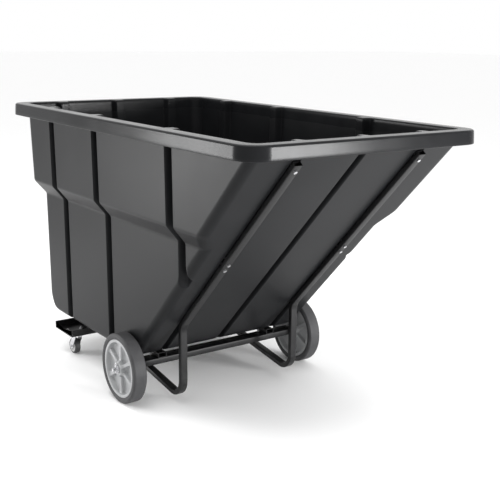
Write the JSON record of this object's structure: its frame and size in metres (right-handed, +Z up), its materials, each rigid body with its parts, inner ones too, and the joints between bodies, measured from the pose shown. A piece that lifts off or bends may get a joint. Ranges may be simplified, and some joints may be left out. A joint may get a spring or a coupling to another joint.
{
  "type": "tilt truck",
  "caption": "Plastic tilt truck: deep ribbed hopper with a slanted dump face and rolled rim on a bent-tube frame, two big fixed wheels and two swivel casters at the rear.",
  "frame": {"origin": "on the floor under the middle of the rim", "axes": "+X towards the dump lip, +Y to the truck's left, +Z up"},
  "size_m": [2, 1.09, 1.212],
  "materials": {
    "black_polyethylene": "moulded, slightly glossy",
    "frame_paint": "black powder coat, semi-gloss",
    "zinc_steel": "zinc plated",
    "wheel_centre": "cast, satin",
    "grey_tyre": "dark grey rubber",
    "bushing": "natural nylon",
    "caster_centre": "light grey",
    "caster_rubber": "dark rubber"
  },
  "bodies": {
    "truck": {"tub": "black_polyethylene", "left_frame_tube": "frame_paint", "right_frame_tube": "frame_paint", "cross_tube": "frame_paint", "left_rail": "frame_paint", "right_rail": "frame_paint", "caster_channel": "frame_paint", "axle": "zinc_steel", "axle_inner_washers": "zinc_steel", "axle_outer_washers": "zinc_steel", "cotter_pins": "zinc_steel", "strap_bolts": "zinc_steel", "strap_nuts": "zinc_steel", "pad_bolts": "zinc_steel", "pad_nuts": "zinc_steel", "floor_bolts": "zinc_steel", "floor_nuts": "zinc_steel", "caster_mount_bolts": "zinc_steel", "caster_mount_nuts": "zinc_steel", "left_caster_plate": "zinc_steel", "right_caster_plate": "zinc_steel", "left_caster_race": "zinc_steel", "right_caster_race": "zinc_steel", "left_caster_kingpin": "zinc_steel", "right_caster_kingpin": "zinc_steel"},
    "left_wheel": {"left_wheel_hub": "wheel_centre", "left_wheel_tyre": "grey_tyre", "left_wheel_bushing": "bushing"},
    "left_caster_swivel": {"left_caster_fork": "zinc_steel", "left_caster_axle": "zinc_steel"},
    "left_caster_wheel": {"left_caster_core": "caster_centre", "left_caster_tread": "caster_rubber"},
    "right_wheel": {"right_wheel_hub": "wheel_centre", "right_wheel_tyre": "grey_tyre", "right_wheel_bushing": "bushing"},
    "right_caster_swivel": {"right_caster_fork": "zinc_steel", "right_caster_axle": "zinc_steel"},
    "right_caster_wheel": {"right_caster_core": "caster_centre", "right_caster_tread": "caster_rubber"}
  },
  "joints": [
    {"name": "left_wheel_spin", "type": "hinge", "parent": "truck", "child": "left_wheel", "pos_m": [-0.02003, 0.4655, 0.1524], "axis": [0, 1, 0], "continuous": true},
    {"name": "left_caster_turn", "type": "hinge", "parent": "truck", "child": "left_caster_swivel", "pos_m": [-0.672, 0.385, 0.1], "axis": [0, 0, 1], "continuous": true},
    {"name": "left_caster_spin", "type": "hinge", "parent": "left_caster_swivel", "child": "left_caster_wheel", "pos_m": [-0.698, 0.385, 0.038], "axis": [0, 1, 0], "continuous": true},
    {"name": "right_wheel_spin", "type": "hinge", "parent": "truck", "child": "right_wheel", "pos_m": [-0.02003, -0.4655, 0.1524], "axis": [0, 1, 0], "continuous": true},
    {"name": "right_caster_turn", "type": "hinge", "parent": "truck", "child": "right_caster_swivel", "pos_m": [-0.672, -0.385, 0.1], "axis": [0, 0, 1], "continuous": true},
    {"name": "right_caster_spin", "type": "hinge", "parent": "right_caster_swivel", "child": "right_caster_wheel", "pos_m": [-0.698, -0.385, 0.038], "axis": [0, 1, 0], "continuous": true}
  ]
}
